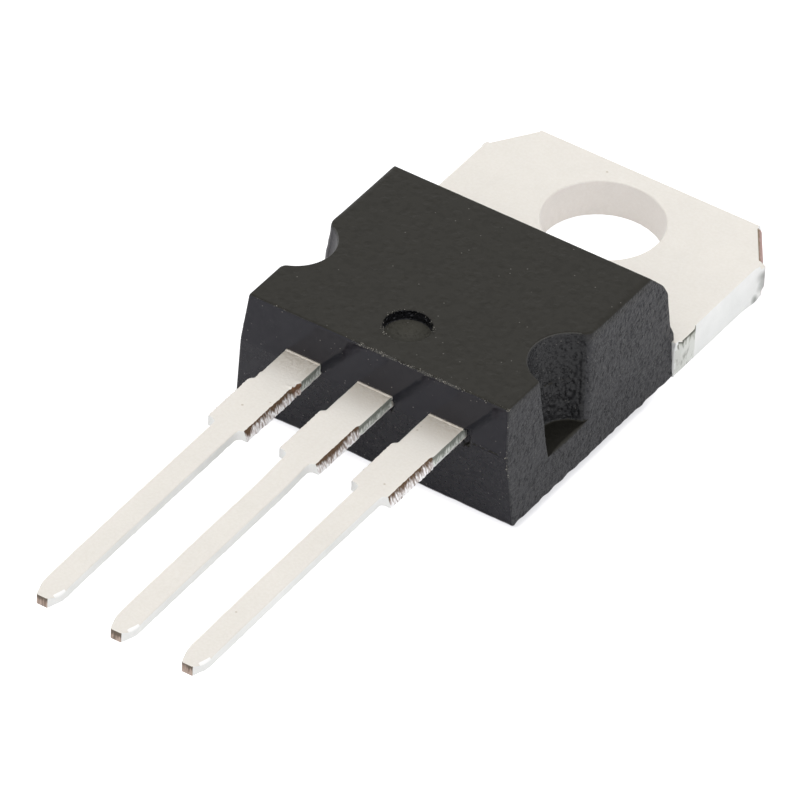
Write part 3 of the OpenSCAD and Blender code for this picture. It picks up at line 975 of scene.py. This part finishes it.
for face, share in zip(body.data.polygons, mask.data):
    at, normal = face.center / MM, face.normal
    in_notch = ledge - 0.01 < at.z < top - edge_drop and notch_front < at.y < notch_rear and (
        abs(at.x) < between(half_back, half_top, at.z / top) - 0.1)
    in_mark = top - 0.01 - mark_deep < at.z < top - 0.01 and (
        math.hypot(at.x - mark_x, at.y - mark_y) < mark_r + 0.05)
    at_rim = 0.35 < normal.z < 0.8 and top - 0.06 < at.z and (
        notch_front < at.y < notch_rear - 0.2 and abs(at.x) < half_top - 0.25)
    at_brow = at.z > top - 0.11 and at.y < lead_root + 0.35 and 0.2 < normal.z < 0.95 and (
        -0.95 < at.x < 3.0) and noise.noise(at * 5) > -0.15
    faded = (0.38 if at.y > rubbed_from else 0.2) * ramp(at.z, top - 0.5, top - 0.1)
    share.value = max(ramp(normal.z, 0.1, 0.75), faded)
    # A paler tone on the notches' rims and the front top edge: partly wear, partly a painted
    # highlight.
    if at_rim or at_brow:
        face.material_index = RUBBED_WITH_PAINTED_HIGHLIGHT
    # The mark's floor gets painted light against its recess's shade, and its wall painted shade.
    elif in_mark:
        face.material_index = PIN_FACE_PAINTED_LIGHTER if normal.z > 0.7 else PIN_WALL_PAINTED_DARK
    elif in_notch and normal.z < 0.7:
        face.material_index = POCKET if at.x > 0 else WORN_POCKET
    elif normal.y < -0.9:
        face.material_index = POLISHED
    else:
        face.material_index = OUTSIDE
soften(body, 45)
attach(body, "root")
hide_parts("moulded_body")

# ---- Exposed filler grains ----
# Silica grains bared where the sharp edges of the moulding chipped as it left the cavity:
# along the front edge of the top face, down the front right corner, and round the mark that
# the ejector pin left.
grain_count, grain_seed = 4500, 7
grain_scatter, grain_small, grain_large = 0.045, 0.004, 0.023
brow_y, brow_z = lead_root + front_top + 0.02, top - 0.03
# Places along a path, each with the share of its grains that are bare.
edge_path = [((x, brow_y, brow_z), wear) for x, wear in (
    (-4.5, 0.01), (-3.6, 0.01), (-3.5, 0.06), (-3.2, 0.01), (-2.4, 0.0), (-2.2, 0.06),
    (-1.9, 0.01), (-1.1, 0.03), (-0.8, 0.35), (0.2, 0.5), (1.4, 0.4), (2.6, 0.4), (3.1, 0.1),
    (3.6, 0.12), (4.2, 0.03), (half_top - 0.02, 0.2))]
edge_path += [((between(half_back, half_top, z / top) - 0.01, front_at(z) + 0.01, z), wear)
              for z, wear in ((4.32, 0.25), (4.2, 0.02), (3.9, 0.02), (3.8, 0.25), (3.6, 0.02),
                              (3.0, 0.02), (2.85, 0.2), (2.6, 0.08), (2.3, 0.2), (1.8, 0.12),
                              (1.6, 0.01), (0.2, 0.01))]
mark_path = []
for degrees, wear in ((-150, 0.01), (-135, 0.1), (-120, 0.22), (-105, 0.05), (-90, 0.0),
                      (0, 0.0), (8, 0.05), (20, 0.18), (32, 0.03), (80, 0.01), (126, 0.02),
                      (150, 0.05), (185, 0.01), (209, 0.01)):
    a = math.radians(degrees)
    mark_path.append(((mark_x + (mark_r + 0.03) * math.cos(a),
                       mark_y + (mark_r + 0.03) * math.sin(a), top - 0.01), wear))

scatter = bpy.data.node_groups.new("grains_along_a_path", "GeometryNodeTree")
grain_inputs = {}
for name, kind in (("Path", "NodeSocketGeometry"), ("Count", "NodeSocketInt"),
                   ("Scatter", "NodeSocketFloat"), ("Smallest", "NodeSocketFloat"),
                   ("Largest", "NodeSocketFloat"), ("Seed", "NodeSocketInt"),
                   ("Material", "NodeSocketMaterial")):
    socket = scatter.interface.new_socket(name, in_out="INPUT", socket_type=kind)
    grain_inputs[name] = socket.identifier
scatter.interface.new_socket("Grains", in_out="OUTPUT", socket_type="NodeSocketGeometry")
given = add(scatter, "NodeGroupInput").outputs


def chance(kind, low, high, step):
    """A random float or vector for each point, from the group's own seed plus a step."""
    seed = add(scatter, "Math", {0: given["Seed"], 1: step})
    return add(scatter, "FunctionNodeRandomValue", {"Min": low, "Max": high, "Seed": seed},
               data_type=kind)


path = add(scatter, "GeometryNodeMeshToCurve", {"Mesh": given["Path"]})
even = add(scatter, "GeometryNodeResampleCurve", {"Curve": path, "Count": given["Count"]})
dots = add(scatter, "GeometryNodeCurveToPoints", {"Curve": even}, mode="EVALUATED")
offset = add(scatter, "VectorMath",
             {0: chance("FLOAT_VECTOR", (-1, -1, -1), (1, 1, 1), 0), "Scale": given["Scatter"]},
             operation="SCALE")
strewn = add(scatter, "GeometryNodeSetPosition", {"Geometry": dots, "Offset": offset})
worn = add(scatter, "GeometryNodeInputNamedAttribute", {"Name": "wear"}, data_type="FLOAT")
whole = add(scatter, "FunctionNodeCompare", {0: chance("FLOAT", 0, 1, 1), 1: worn},
            data_type="FLOAT", operation="GREATER_THAN")
bared = add(scatter, "GeometryNodeDeleteGeometry", {"Geometry": strewn, "Selection": whole})
grain = add(scatter, "GeometryNodeMeshIcoSphere", {"Subdivisions": 1})
mostly_small = add(scatter, "Math", {0: chance("FLOAT", 0, 1, 2), 1: 3}, operation="POWER")
size = add(scatter, "MapRange",
           {"Value": mostly_small, "To Min": given["Smallest"], "To Max": given["Largest"]})
shape = add(scatter, "VectorMath",
            {0: chance("FLOAT_VECTOR", (0.6, 0.6, 0.6), (1.2, 1.2, 1.2), 3), "Scale": size},
            operation="SCALE")
placed = add(scatter, "GeometryNodeInstanceOnPoints",
             {"Points": bared, "Instance": grain,
              "Rotation": chance("FLOAT_VECTOR", (0, 0, 0), (6.28, 6.28, 6.28), 4),
              "Scale": shape})
solid_grains = add(scatter, "GeometryNodeRealizeInstances", {"Geometry": placed})
coloured = add(scatter, "GeometryNodeSetMaterial",
               {"Geometry": solid_grains, "Material": given["Material"]})
add(scatter, "NodeGroupOutput", {"Grains": coloured})

# Clear grains look milky where they are broken, and darker where resin still clings to them.
silica, tree = new_material("fused_silica_dusted_with_epoxy")
place = add(tree, "TexCoord").outputs["Object"]
cling = add(tree, "TexNoise", {"Vector": place, "Scale": 1 / (0.08 * MM), "Detail": 2})
dust = add(tree, "MapRange", {"Value": cling, "From Min": 0.35, "From Max": 0.65})
milky = add(tree, "Mix", {"Factor": dust, "A": linear("#504e4a"), "B": linear("#928e85")},
            data_type="RGBA")
glassy = add(tree, "BsdfPrincipled", {"Base Color": milky, "Roughness": 0.35})
add(tree, "OutputMaterial", {"Surface": glassy})

mesh = bpy.data.meshes.new("grain_path")
both_paths = edge_path + mark_path
mesh.from_pydata([Vector(p) * MM for p, wear in both_paths],
                 [(i, i + 1) for i in range(len(both_paths) - 1) if i + 1 != len(edge_path)],
                 [])
wear = mesh.attributes.new("wear", "FLOAT", "POINT")
wear.data.foreach_set("value", [wear for p, wear in both_paths])
grains = put("exposed_silica_grains", mesh)
modifier = grains.modifiers.new("grains", "NODES")
modifier.node_group = scatter
for name, value in (("Count", grain_count), ("Scatter", grain_scatter * MM),
                    ("Smallest", grain_small * MM), ("Largest", grain_large * MM),
                    ("Seed", grain_seed), ("Material", silica)):
    modifier[grain_inputs[name]] = value
settle(grains)
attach(grains, "root")
